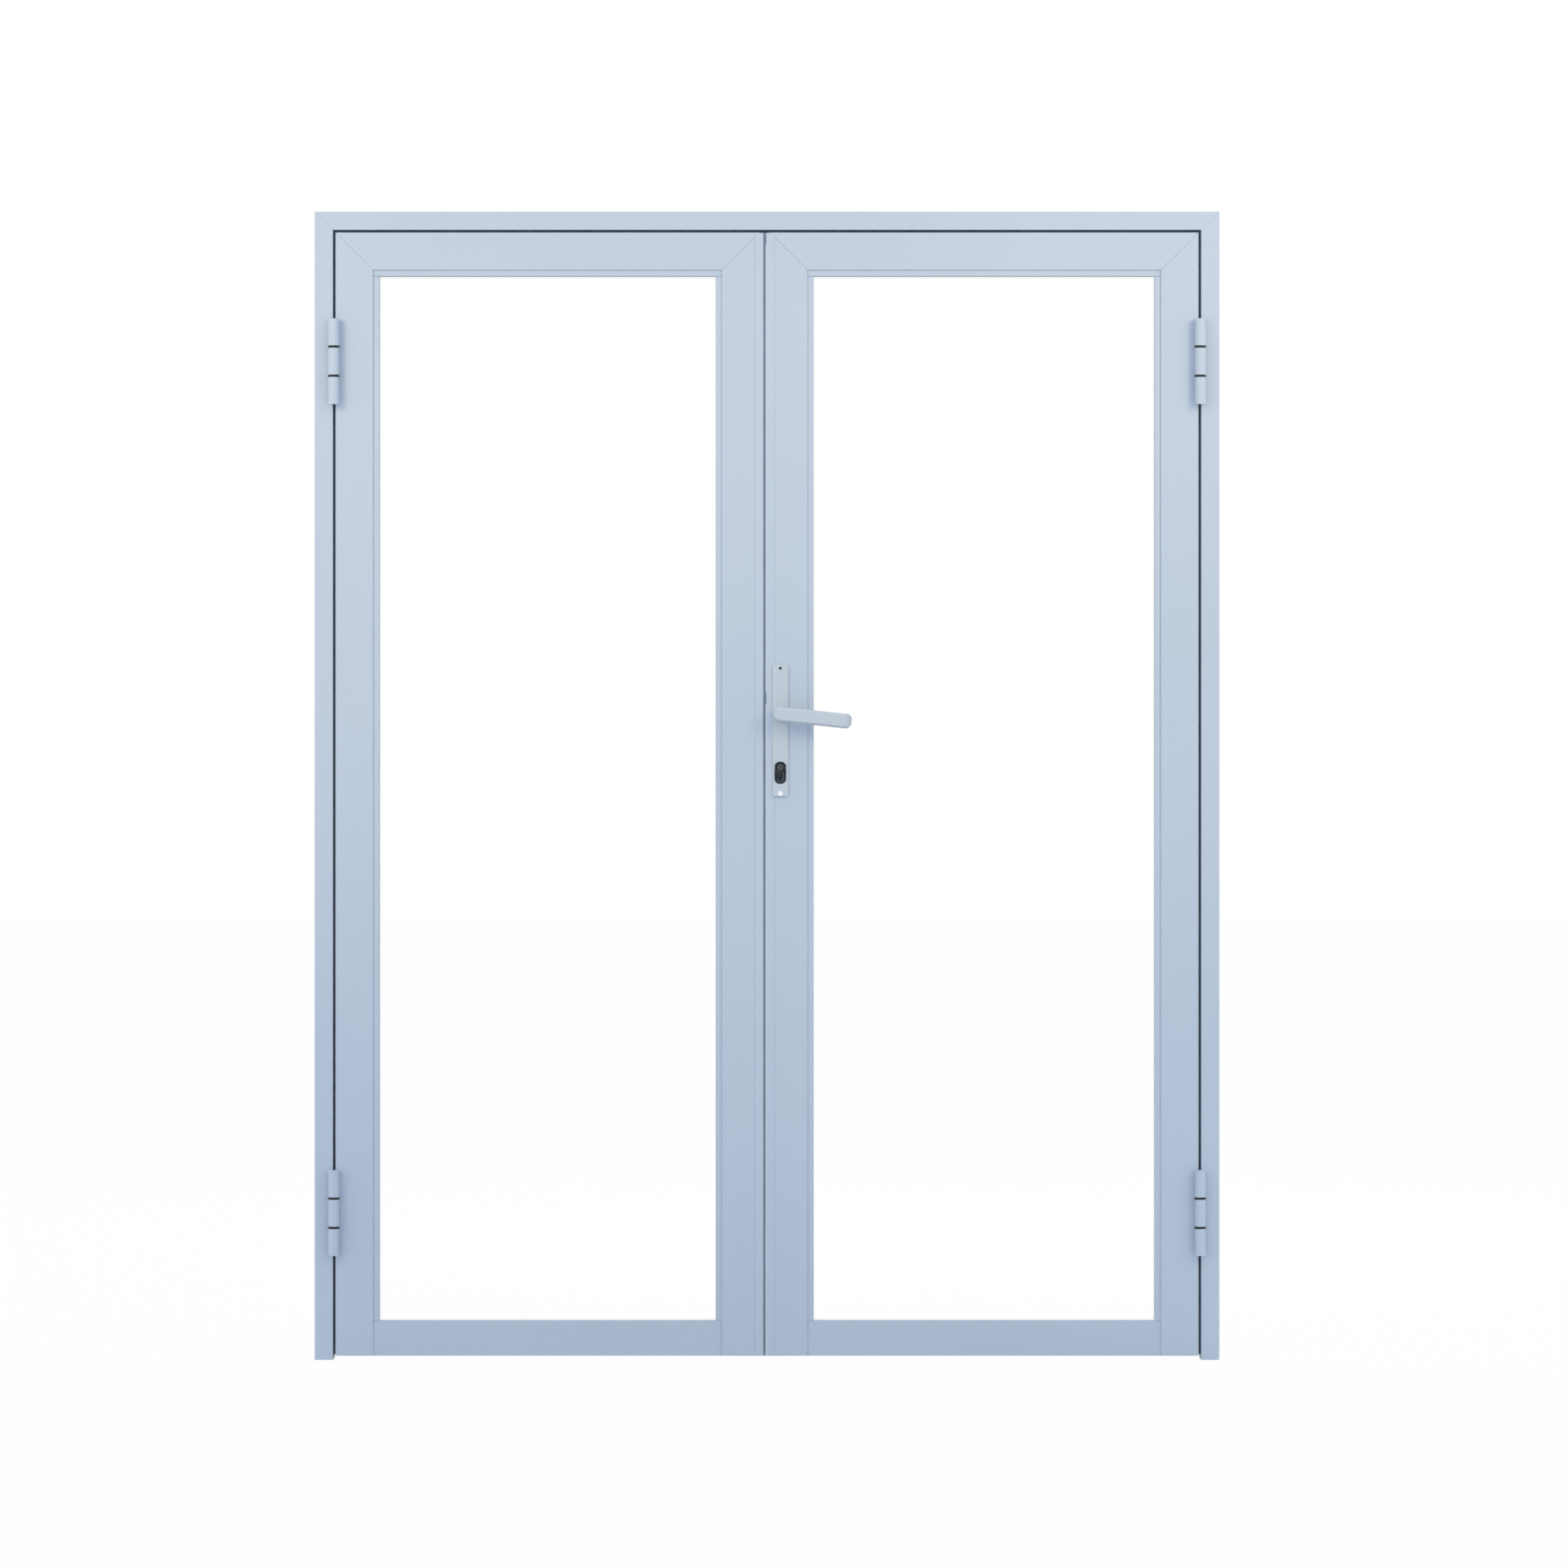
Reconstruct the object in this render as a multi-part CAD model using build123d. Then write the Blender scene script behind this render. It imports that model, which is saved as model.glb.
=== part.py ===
from build123d import *
import os

os.makedirs("parts", exist_ok=True)

# French doors with their frame. Millimetres, +Z up, the hinge side of the doors faces -Y.
# The origin is the middle of the frame's foot, at half its depth.

# Overall sizes and profile depth
FRAME_WIDTH = 1560.0
FRAME_HEIGHT = 1980.0
DEPTH = 50.0
FRAME_FACE = 31.5
STOP_LIP = 22.0
REBATE_DEPTH = 32.0
WALL = 2.0
EDGE_ROUND = 1.0
SMALL_ROUND = 0.6

# Gaps between the parts
HINGE_GAP = 4.5
MEETING_GAP = 5.0
MEETING_OFFSET = -4.0
LEAF_LIFT = 7.0
MITRE_GAP = 0.25
MITRE_GROOVE = 0.6
SEAT_GAP = 0.1
SLIP_GAP = 0.3

# Corner cleats and frame seals
FRAME_CLEAT_ARM = 90.0
LEAF_CLEAT_ARM = 85.0
LEAF_CLEAT_BAR = 38.0
CLEAT_POCKET = 4.0
RAIL_CLEAT = 60.0
SEAL_WIDTH = 9.0
SEAL_INSET = 3.0
SEAL_ROUND = 1.5

# Leaf profiles
STILE_FACE = 64.5
LIP_DEPTH = 28.0
STOP_CLEAR = 5.0
BEAD_STEP = 3.0
BEAD_TUCK = 4.0
BEAD_SIGHT = 11.0
BEAD_DEPTH = 14.0
BEAD_WALL = 1.4
BEAD_ROUND = 1.8
GLAZING_LEG = 3.0
LEG_SHORT = 3.0
BOTTOM_RAIL_FACE = 45.5
CHAMBER_SPLIT = 26.0

# Meeting edge profile
CAP_THICK = 1.2
CAP_FLANGE = 14.0
CAP_WEB = 6.5
CAP_STEP_DEPTH = 36.0
CAP_STEP = 3.0
CAP_SHORT = 0.8
CAP_WALL = 1.6
FIN_DEPTH = 4.0
FIN_THICK = 4.0
FIN_CLEAR = 0.6

# Glazing
PANE = 4.0
CAVITY = 16.0
GASKET = 3.0
GASKET_WIDTH = 5.0
GASKET_INSET = 3.6
GLASS_EDGE_GAP = 5.0
SPACER_INSET = 1.0
SPACER_WIDTH = 6.5
BLOCK_LENGTH = 100.0
BLOCK_FROM_END = 90.0

# Hinges
HINGE_FROM_FOOT = 254.0
HINGE_FROM_TOP = 259.0
KNUCKLE = 46.4
WASHER = 4.0
WASHER_PROUD = 0.2
BARREL_RADIUS = 9.5
PIN_RADIUS = 4.0
PIN_PLAY = 0.05
BARREL_OUT = 11.5
HINGE_LEG = 2.1
LEG_START = 4.0
LEG_END = 26.0
HINGE_SCREW_Z = (-56.0, -16.0, 16.0, 56.0)
HINGE_SCREW_RADIUS = 2.2
HINGE_SCREW_HEAD = 3.9
HINGE_SCREW_LENGTH = 14.0

# Handle, lock and cylinder of the active leaf
HANDLE_Z = 1113.5
BACKSET = 24.5
CYLINDER_BELOW = 92.0
PLATE_WIDTH = 27.0
PLATE_TOP = 85.0
PLATE_BOTTOM = 142.0
PLATE_THICK = 4.0
PLATE_ROUND = 1.2
PLATE_CORNER = 4.0
SCREW_TOP = 79.0
SCREW_BOTTOM = 137.0
SCREW_RADIUS = 2.5
SCREW_SUNK = 1.5
SCREW_CAP_RADIUS = 4.2
SCREW_CAP_PROUD = 0.8
HUB_RADIUS = 13.0
HUB_BOSS = 3.0
HUB_TAPER = 1.5
LEVER_OUT = 46.0
LEVER_THICK = 11.0
LEVER_REACH = 123.5
LEVER_HEIGHT = 24.0
LEVER_ROUND = 4.0
LEVER_TIP_ROUND = 9.5
LEVER_BEND = 13.0
LEVER_RETURN = 24.0
LEVER_DROOP = 6.0
SPINDLE = 8.0
SPINDLE_HOLE = 6.0
SPINDLE_GRIP = 16.0
FOLLOWER_RADIUS = 9.0
CASE_THICK = 14.6
CASE_DEPTH = 42.0
CASE_LOW = 129.0
CASE_HIGH = 52.0
CASE_WALL = 1.5
FACEPLATE_WIDTH = 18.0
FACEPLATE_THICK = 3.0
FACEPLATE_OVER = 24.0
LATCH_ABOVE = 27.0
LATCH_HEIGHT = 20.0
LATCH_THICK = 11.0
LATCH_OUT = 11.0
LATCH_BLUNT = 2.0
LATCH_TAIL = 26.0
BOLT_BELOW = 45.0
BOLT_HEIGHT = 26.0
BOLT_THICK = 10.0
BOLT_SUNK = 0.4
BOLT_TAIL = 34.0
STRIKE_BOX_DEPTH = 16.0
STRIKE_BOX_OVER = 4.0
STRIKE_PLAY = 1.0
CYLINDER_RADIUS = 8.5
CYLINDER_TAB = 10.0
CYLINDER_DROP = 24.5
CYLINDER_OUT = 3.0
PLUG_RADIUS = 6.5
PLUG_PLAY = 0.05
PLUG_SUNK = 0.4
PLUG_BEVEL = 0.8
CYLINDER_BEVEL = 0.6
CAM_RADIUS = 13.0
CAM_WIDTH = 8.0
CAM_THICK = 9.0
CAM_RING = 1.2
KEY_SLOT = 2.6
KEY_SLOT_HEIGHT = 8.6
KEY_SLOT_DEPTH = 8.0
COLLAR_WIDTH = 19.6
COLLAR_TOP = 9.8
COLLAR_BOTTOM = 28.0
COLLAR_ROUND = 8.5
COLLAR_THICK = 2.0

# Flush bolts of the passive leaf
ROD_RADIUS = 5.0
ROD_INSET = 22.0
ROD_DEPTH = 40.5
ROD_LENGTH = 240.0
ROD_TRAVEL = 20.0
ROD_REST_GAP = 1.0
ROD_HOLE_PLAY = 1.0
THUMB_FROM_END = 10.0
THUMB = 10.0
THUMB_PLATE_LENGTH = 150.0
THUMB_PLATE_THICK = 2.0
THUMB_PLATE_FOOT = 16.0
THUMB_RECESS = 1.0
KEEPER_THICK = 2.0
KEEPER_LENGTH = 44.0

# Fixing holes of the jambs
FIXING_RADIUS = 5.25
FIXING_FROM_END = 420.0
FIXINGS = 4
FIXING_DEPTH = 16.0

# Places worked out from the sizes above
FRONT = -DEPTH / 2
LEAF_EDGE = FRAME_WIDTH / 2 - FRAME_FACE - HINGE_GAP
LEAF_TOP = FRAME_HEIGHT - FRAME_FACE - HINGE_GAP
LEFT_MEETING = MEETING_OFFSET - MEETING_GAP / 2
RIGHT_MEETING = MEETING_OFFSET + MEETING_GAP / 2
LEFT_WIDTH = LEFT_MEETING + LEAF_EDGE
RIGHT_WIDTH = LEAF_EDGE - RIGHT_MEETING
REBATED = STOP_LIP - HINGE_GAP + STOP_CLEAR
WEB = STILE_FACE - BEAD_TUCK
LEG_REACH = STILE_FACE + BEAD_SIGHT - LEG_SHORT
BEAD_FACE = BEAD_TUCK + BEAD_SIGHT
LEG_FRONT = DEPTH - GLAZING_LEG
GLASS_FRONT = BEAD_STEP + BEAD_DEPTH + GASKET
GLASS_BACK = GLASS_FRONT + PANE + CAVITY + PANE
BOTTOM_WEB = LEAF_LIFT + BOTTOM_RAIL_FACE
HINGE_Z = (HINGE_FROM_FOOT, FRAME_HEIGHT - HINGE_FROM_TOP)
HUB_X = RIGHT_MEETING + BACKSET
CYLINDER_Z = HANDLE_Z - CYLINDER_BELOW
MIDDLE = DEPTH / 2
FAR = 4000.0


def box(x, y, z):
    """A block from three (low, high) pairs."""
    size = [high - low for low, high in (x, y, z)]
    middle = [(high + low) / 2 for low, high in (x, y, z)]
    return Pos(*middle) * Box(*size)


def outline(points, rounds=(), chambers=()):
    """A hollow section: its outer corners, the corners to round, and its chambers as (low, high) pairs."""
    section = make_face(Polyline(*points, close=True))
    for corner, radius in rounds:
        vertex = section.vertices().sort_by_distance(Vector(*corner, 0))[0]
        section = fillet(vertex, radius)
    for across, deep in chambers:
        size = (across[1] - across[0], deep[1] - deep[0])
        middle = ((across[0] + across[1]) / 2, (deep[0] + deep[1]) / 2)
        section -= Pos(*middle) * Rectangle(*size)
    return section


def upright(section, x, inward, low, high):
    """An upright bar. Its section runs inward from x (+1 or -1) and back from the front plane."""
    plane = Plane(origin=(x, FRONT, low if inward > 0 else high), x_dir=(inward, 0, 0), z_dir=(0, 0, inward))
    return extrude(plane * section, amount=high - low)


def level(section, z, upward, low, high):
    """A level bar from x = low to high. Its section runs up (+1) or down (-1) from z."""
    start = low if upward < 0 else high
    plane = Plane(origin=(start, FRONT, z), x_dir=(0, 0, upward), z_dir=(-upward, 0, 0))
    return extrude(plane * section, amount=high - low)


def below_mitre(bar, corner_x, corner_z, inward, gap):
    """Keeps what lies below the 45 degree plane that falls inward from a top corner."""
    plane = Plane(origin=(corner_x, 0, corner_z - gap), z_dir=(inward, 0, 1))
    return split(bar, bisect_by=plane, keep=Keep.BOTTOM)


def above_mitre(bar, corner_x, corner_z, inward, gap):
    plane = Plane(origin=(corner_x, 0, corner_z + gap), z_dir=(inward, 0, 1))
    return split(bar, bisect_by=plane, keep=Keep.TOP)


def cross_hole(x, z, radius, deep):
    """A round cutter along Y at (x, z), between two depths from the front plane."""
    middle = FRONT + (deep[0] + deep[1]) / 2
    return Pos(x, middle, z) * Rot(90, 0, 0) * Cylinder(radius, deep[1] - deep[0])


def side_hole(y, z, radius, across):
    """A round cutter along X at (y, z)."""
    return Pos((across[0] + across[1]) / 2, y, z) * Rot(0, 90, 0) * Cylinder(radius, across[1] - across[0])


def deep(low, high):
    """Turns two depths from the front plane into a (low, high) pair along Y."""
    return (FRONT + low, FRONT + high)


# The frame


def frame_section():
    stop = FRAME_FACE + STOP_LIP
    points = [(0, 0), (FRAME_FACE, 0), (FRAME_FACE, REBATE_DEPTH), (stop, REBATE_DEPTH), (stop, DEPTH), (0, DEPTH)]
    rounds = [((0, 0), EDGE_ROUND), ((FRAME_FACE, 0), EDGE_ROUND), ((stop, REBATE_DEPTH), SMALL_ROUND)]
    rounds += [((stop, DEPTH), SMALL_ROUND), ((0, DEPTH), SMALL_ROUND)]
    front_chamber = ((WALL, FRAME_FACE - WALL), (WALL, REBATE_DEPTH - WALL))
    back_chamber = ((WALL, stop - WALL), (REBATE_DEPTH + WALL, DEPTH - WALL))
    return outline(points, rounds, [front_chamber, back_chamber])


def hinge_screw_places():
    return [(height + step) for height in HINGE_Z for step in HINGE_SCREW_Z]


SCREW_DEPTH = (LEG_START + LEG_END) / 2


def fixing_places():
    """The heights of the fixing holes, evenly spaced between the two end ones."""
    step = (FRAME_HEIGHT - 2 * FIXING_FROM_END) / (FIXINGS - 1)
    return [FIXING_FROM_END + step * number for number in range(FIXINGS)]


def left_jamb():
    """Its stop ends level with the underside of the leaf."""
    edge = -FRAME_WIDTH / 2
    bar = upright(frame_section(), edge, 1, 0, FRAME_HEIGHT)
    bar = below_mitre(bar, edge, FRAME_HEIGHT, 1, MITRE_GAP / 2)
    for height in fixing_places():
        bar -= side_hole(FRONT + FIXING_DEPTH, height, FIXING_RADIUS, (edge - 1, edge + FRAME_FACE + 1))
    for height in hinge_screw_places():
        wall = edge + FRAME_FACE
        bar -= side_hole(FRONT + SCREW_DEPTH, height, HINGE_SCREW_RADIUS, (wall - WALL - 1, wall + 1))
    stop = (edge + FRAME_FACE, edge + FRAME_FACE + STOP_LIP + 1)
    return bar - box(stop, deep(REBATE_DEPTH - 1, DEPTH + 1), (-1, LEAF_LIFT))


def head():
    edge = FRAME_WIDTH / 2
    bar = level(frame_section(), FRAME_HEIGHT, -1, -edge, edge)
    bar = above_mitre(bar, -edge, FRAME_HEIGHT, 1, MITRE_GAP / 2)
    bar = above_mitre(bar, edge, FRAME_HEIGHT, -1, MITRE_GAP / 2)
    stop_low = FRAME_HEIGHT - FRAME_FACE - STOP_LIP
    rod_hole = Pos(rod_x(), FRONT + ROD_DEPTH, stop_low) * Cylinder(ROD_RADIUS + ROD_HOLE_PLAY, 3 * WALL)
    return bar - rod_hole


def frame_cleat():
    """The cast angle that joins the left jamb to the head, inside their front chambers."""
    near = -FRAME_WIDTH / 2 + WALL + SLIP_GAP
    top = FRAME_HEIGHT - WALL - SLIP_GAP
    width = FRAME_FACE - 2 * WALL - 2 * SLIP_GAP
    arm = FRAME_CLEAT_ARM
    thick = deep(WALL + SLIP_GAP, REBATE_DEPTH - WALL - SLIP_GAP)
    angle = box((near, near + width), thick, (top - arm, top))
    angle += box((near, near + arm), thick, (top - width, top))
    pocket = CLEAT_POCKET
    inner = (thick[0] + pocket, thick[1] + 1)
    angle -= box((near + pocket, near + width - pocket), inner, (top - arm + pocket, top - width - pocket))
    angle -= box((near + width + pocket, near + arm - pocket), inner, (top - width + pocket, top - pocket))
    return angle


def frame_seals():
    """Three strips on the front of the stop, each with a rounded nose towards the leaf."""
    foot = FRAME_FACE + HINGE_GAP + SEAL_INSET
    far = foot + SEAL_WIDTH
    nose = LIP_DEPTH + SLIP_GAP
    points = [(foot, REBATE_DEPTH), (foot, nose), (far, nose), (far, REBATE_DEPTH)]
    section = outline(points, [((foot, nose), SEAL_ROUND), ((far, nose), SEAL_ROUND)])
    edge = FRAME_WIDTH / 2
    top = FRAME_HEIGHT - far - SLIP_GAP
    left = upright(section, -edge, 1, LEAF_LIFT, top)
    over = level(section, FRAME_HEIGHT, -1, -edge + foot, edge - foot)
    return [left, mirror(left, about=Plane.YZ), over]


# One leaf, drawn with its hinge edge at x = 0 and its meeting edge at x = width


def hinge_stile_section():
    points = [(0, 0), (STILE_FACE, 0), (STILE_FACE, BEAD_STEP), (WEB, BEAD_STEP), (WEB, LEG_FRONT)]
    points += [(LEG_REACH, LEG_FRONT), (LEG_REACH, DEPTH), (REBATED, DEPTH), (REBATED, LIP_DEPTH), (0, LIP_DEPTH)]
    rounds = [((0, 0), EDGE_ROUND), ((STILE_FACE, 0), SMALL_ROUND), ((LEG_REACH, DEPTH), SMALL_ROUND)]
    rounds += [((REBATED, DEPTH), EDGE_ROUND), ((0, LIP_DEPTH), SMALL_ROUND)]
    front_chamber = ((WALL, WEB - WALL), (WALL, CHAMBER_SPLIT))
    back_chamber = ((REBATED + WALL, WEB - WALL), (CHAMBER_SPLIT + WALL, DEPTH - WALL))
    return outline(points, rounds, [front_chamber, back_chamber])


def meeting_stile_section():
    """Runs inward from the outside of its tube, which stands behind the meeting edge profile."""
    points = [(0, 0), (STILE_FACE, 0), (STILE_FACE, BEAD_STEP), (WEB, BEAD_STEP), (WEB, LEG_FRONT)]
    points += [(LEG_REACH, LEG_FRONT), (LEG_REACH, DEPTH), (0, DEPTH)]
    rounds = [((0, 0), SMALL_ROUND), ((STILE_FACE, 0), SMALL_ROUND), ((LEG_REACH, DEPTH), SMALL_ROUND)]
    chamber = ((WALL, WEB - WALL), (WALL, DEPTH - WALL))
    return outline(points, rounds, [chamber])


def bottom_rail_section():
    reach = BOTTOM_RAIL_FACE + BEAD_FACE - LEG_SHORT
    top = BOTTOM_RAIL_FACE
    points = [(0, BEAD_STEP), (top, BEAD_STEP), (top, LEG_FRONT), (reach, LEG_FRONT), (reach, DEPTH), (0, DEPTH)]
    rounds = [((0, BEAD_STEP), EDGE_ROUND), ((reach, DEPTH), SMALL_ROUND), ((0, DEPTH), EDGE_ROUND)]
    front_chamber = ((WALL, top - WALL), (BEAD_STEP + WALL, CHAMBER_SPLIT))
    back_chamber = ((WALL, top - WALL), (CHAMBER_SPLIT + WALL, DEPTH - WALL))
    return outline(points, rounds, [front_chamber, back_chamber])


def mitre_groove(corner_x, inward):
    """The fine V that shows along the front of a mitre, cut from both of its bars."""
    length = STILE_FACE * 2 ** 0.5 + 2
    strip = Pos(length / 2 - 1, 0, 0) * Rot(45, 0, 0) * Box(length, MITRE_GROOVE, MITRE_GROOVE)
    return Pos(corner_x, FRONT, LEAF_TOP) * Rot(0, 90 - 45 * inward, 0) * strip


def hinge_stile():
    bar = upright(hinge_stile_section(), 0, 1, LEAF_LIFT, LEAF_TOP)
    bar = below_mitre(bar, 0, LEAF_TOP, 1, MITRE_GAP / 2) - mitre_groove(0, 1)
    for height in hinge_screw_places():
        bar -= side_hole(FRONT + SCREW_DEPTH, height, HINGE_SCREW_RADIUS, (-1, WALL + 1))
    return bar


def top_back_notch(width):
    """Room for the stop of the head, over the back of the meeting stile and its edge profile."""
    return box((width - LEG_REACH - CAP_WEB - 1, width + 1), deep(LIP_DEPTH, DEPTH + 2 * CAP_THICK), (LEAF_TOP - REBATED, FAR))


def meeting_stile(width):
    outside = width - CAP_WEB
    bar = upright(meeting_stile_section(), outside, -1, LEAF_LIFT, LEAF_TOP)
    bar = below_mitre(bar, outside, LEAF_TOP, -1, MITRE_GAP / 2) - mitre_groove(outside, -1)
    return bar - top_back_notch(width)


def top_rail(width):
    outside = width - CAP_WEB
    bar = level(hinge_stile_section(), LEAF_TOP, -1, 0, outside)
    bar = above_mitre(bar, 0, LEAF_TOP, 1, MITRE_GAP / 2)
    bar = above_mitre(bar, outside, LEAF_TOP, -1, MITRE_GAP / 2)
    return bar - mitre_groove(0, 1) - mitre_groove(outside, -1)


def bottom_rail(width):
    ends = (WEB + SEAT_GAP, width - CAP_WEB - WEB - SEAT_GAP)
    bar = level(bottom_rail_section(), LEAF_LIFT, 1, *ends)
    back_legs = LEG_REACH + SEAT_GAP
    for low, high in ((0, back_legs), (width - CAP_WEB - back_legs, width)):
        bar -= box((low, high), deep(LEG_FRONT - SEAT_GAP, DEPTH + 1), (0, LEAF_TOP))
    return bar


def bead_section():
    points = [(0, 0), (BEAD_FACE, 0), (BEAD_FACE, BEAD_DEPTH), (0, BEAD_DEPTH)]
    chamber = ((BEAD_WALL, BEAD_FACE - BEAD_WALL), (BEAD_WALL, BEAD_DEPTH - BEAD_WALL))
    section = outline(points, [((BEAD_FACE, 0), BEAD_ROUND)], [chamber])
    return Pos(0, BEAD_STEP) * section


def glazing_beads(width):
    section = bead_section()
    left = WEB + SEAT_GAP
    right = width - CAP_WEB - WEB - SEAT_GAP
    low = BOTTOM_WEB
    high = LEAF_TOP - WEB - SEAT_GAP
    bottom = level(section, low, 1, left, right)
    top = level(section, high, -1, left, right)
    inner = (low + BEAD_FACE + SEAT_GAP, high - BEAD_FACE - SEAT_GAP)
    return [bottom, top, upright(section, left, 1, *inner), upright(section, right, -1, *inner)]


def glass_box(width):
    """The (low, high) pairs of the glass unit in x and z."""
    across = (WEB + GLASS_EDGE_GAP, width - CAP_WEB - WEB - GLASS_EDGE_GAP)
    high = (BOTTOM_WEB + GLASS_EDGE_GAP, LEAF_TOP - WEB - GLASS_EDGE_GAP)
    return across, high


def panes(width):
    across, high = glass_box(width)
    front = box(across, deep(GLASS_FRONT, GLASS_FRONT + PANE), high)
    back = box(across, deep(GLASS_BACK - PANE, GLASS_BACK), high)
    return [front, back]


def spacer(width):
    across, high = glass_box(width)
    far = SPACER_INSET + SPACER_WIDTH
    thick = deep(GLASS_FRONT + PANE, GLASS_BACK - PANE)
    ring = box((across[0] + SPACER_INSET, across[1] - SPACER_INSET), thick,
               (high[0] + SPACER_INSET, high[1] - SPACER_INSET))
    return ring - box((across[0] + far, across[1] - far), deep(0, DEPTH), (high[0] + far, high[1] - far))


def gaskets(width):
    """Straight strips before and behind the glass, just short of the edges of the beads."""
    across, high = glass_box(width)
    near = BEAD_FACE - GLASS_EDGE_GAP - GASKET_WIDTH - GASKET_INSET
    far = near + GASKET_WIDTH
    strips = []
    for start in (GLASS_FRONT - GASKET, GLASS_BACK):
        thick = deep(start, start + GASKET)
        for edge, way in ((high[0], 1), (high[1], -1)):
            band = sorted((edge + way * near, edge + way * far))
            strips.append(box((across[0] + near, across[1] - near), thick, band))
        inner = (high[0] + far + SEAT_GAP, high[1] - far - SEAT_GAP)
        for edge, way in ((across[0], 1), (across[1], -1)):
            band = sorted((edge + way * near, edge + way * far))
            strips.append(box(band, thick, inner))
    return strips


def setting_blocks(width):
    across, high = glass_box(width)
    thick = deep(GLASS_FRONT, GLASS_BACK)
    blocks = []
    for start in (across[0] + BLOCK_FROM_END, across[1] - BLOCK_FROM_END - BLOCK_LENGTH):
        blocks.append(box((start, start + BLOCK_LENGTH), thick, (high[0] - GLASS_EDGE_GAP, high[0])))
    for start in (high[0] + BLOCK_FROM_END, high[1] - BLOCK_FROM_END - BLOCK_LENGTH):
        rise = (start, start + BLOCK_LENGTH)
        blocks.append(box((across[0] - GLASS_EDGE_GAP, across[0]), thick, rise))
        blocks.append(box((across[1], across[1] + GLASS_EDGE_GAP), thick, rise))
    return blocks


def leaf_cleats(width):
    """Two cast angles in the top corners, and a block in each end of the bottom rail."""
    inset = WALL + SLIP_GAP
    arm = LEAF_CLEAT_ARM
    bar = LEAF_CLEAT_BAR
    pocket = CLEAT_POCKET
    thick = deep(inset, CHAMBER_SPLIT - SLIP_GAP)
    open_side = (thick[0] + pocket, thick[1] + 1)
    top = LEAF_TOP - inset
    angle = box((inset, inset + bar), thick, (top - arm, top)) + box((inset, inset + arm), thick, (top - bar, top))
    angle -= box((inset + pocket, inset + bar - pocket), open_side, (top - arm + pocket, top - bar - pocket))
    angle -= box((inset + bar + pocket, inset + arm - pocket), open_side, (top - bar + pocket, top - pocket))
    outside = width - CAP_WEB
    other = Pos(outside, 0, 0) * mirror(angle, about=Plane.YZ)
    lower = deep(BEAD_STEP + inset, CHAMBER_SPLIT - SLIP_GAP)
    rise = (LEAF_LIFT + inset, BOTTOM_WEB - inset)
    start = WEB + SLIP_GAP
    near = box((start, start + RAIL_CLEAT), lower, rise)
    far = box((outside - start - RAIL_CLEAT, outside - start), lower, rise)
    return [angle, other, near, far]


def meeting_profile(width):
    """The edge profile: a proud flange over the front and back of the stile, and a web along its edge."""
    points = [(0, -CAP_THICK), (CAP_FLANGE, -CAP_THICK), (CAP_FLANGE, 0), (CAP_WEB, 0), (CAP_WEB, DEPTH)]
    points += [(CAP_FLANGE, DEPTH), (CAP_FLANGE, DEPTH + CAP_THICK), (CAP_STEP, DEPTH + CAP_THICK)]
    points += [(CAP_STEP, CAP_STEP_DEPTH), (0, CAP_STEP_DEPTH)]
    rounds = [((0, -CAP_THICK), EDGE_ROUND), ((CAP_FLANGE, -CAP_THICK), 0.8)]
    rounds += [((CAP_FLANGE, DEPTH + CAP_THICK), 0.8), ((CAP_STEP, DEPTH + CAP_THICK), SMALL_ROUND)]
    chamber = ((CAP_WALL, CAP_WEB - CAP_WALL), (CAP_WALL, CAP_STEP_DEPTH - CAP_WALL))
    bar = upright(outline(points, rounds, [chamber]), width, -1, LEAF_LIFT, LEAF_TOP - CAP_SHORT)
    return bar - top_back_notch(width)


def place_left(shape):
    return Pos(-LEAF_EDGE, 0, 0) * shape


def place_right(shape):
    return Pos(LEAF_EDGE, 0, 0) * mirror(shape, about=Plane.YZ)


# One hinge, drawn at the left jamb. The leaf half and the frame half lie side by side in the gap


AXIS_X = -LEAF_EDGE - HINGE_GAP / 2
AXIS_Y = FRONT - BARREL_OUT
HALF_HINGE = KNUCKLE * 1.5 + WASHER


def knuckle(low, high):
    return Pos(AXIS_X, AXIS_Y, (low + high) / 2) * Cylinder(BARREL_RADIUS, high - low)


def pin_bore(low, high):
    return Pos(AXIS_X, AXIS_Y, (low + high) / 2) * Cylinder(PIN_RADIUS + PIN_PLAY, high - low + 2)


def countersinks(leg_face, way):
    """Cutters for the screws of one hinge leg, whose open face is at x = leg_face and looks along way."""
    cutters = []
    for step in HINGE_SCREW_Z:
        spot = Pos(leg_face, FRONT + SCREW_DEPTH, step) * Rot(0, 90 * way, 0)
        hole = Cylinder(HINGE_SCREW_RADIUS, 4 * HINGE_LEG)
        sink = Pos(0, 0, -HINGE_LEG / 2) * Cone(HINGE_SCREW_RADIUS, HINGE_SCREW_HEAD, HINGE_LEG)
        cutters.append(spot * (hole + sink))
    return cutters


def hinge_frame_half(height):
    back = -LEAF_EDGE - HINGE_GAP
    leg = (back, back + HINGE_LEG)
    half = box(leg, deep(LEG_START, LEG_END), (-HALF_HINGE, HALF_HINGE))
    for way in (-1, 1):
        low, high = sorted((way * (KNUCKLE / 2 + WASHER), way * HALF_HINGE))
        half += knuckle(low, high)
        half += box(leg, (AXIS_Y, FRONT + LEG_END), (low, high))
        half -= pin_bore(low, high)
    for cutter in countersinks(leg[1], 1):
        half -= cutter
    return Pos(0, 0, height) * half


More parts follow.
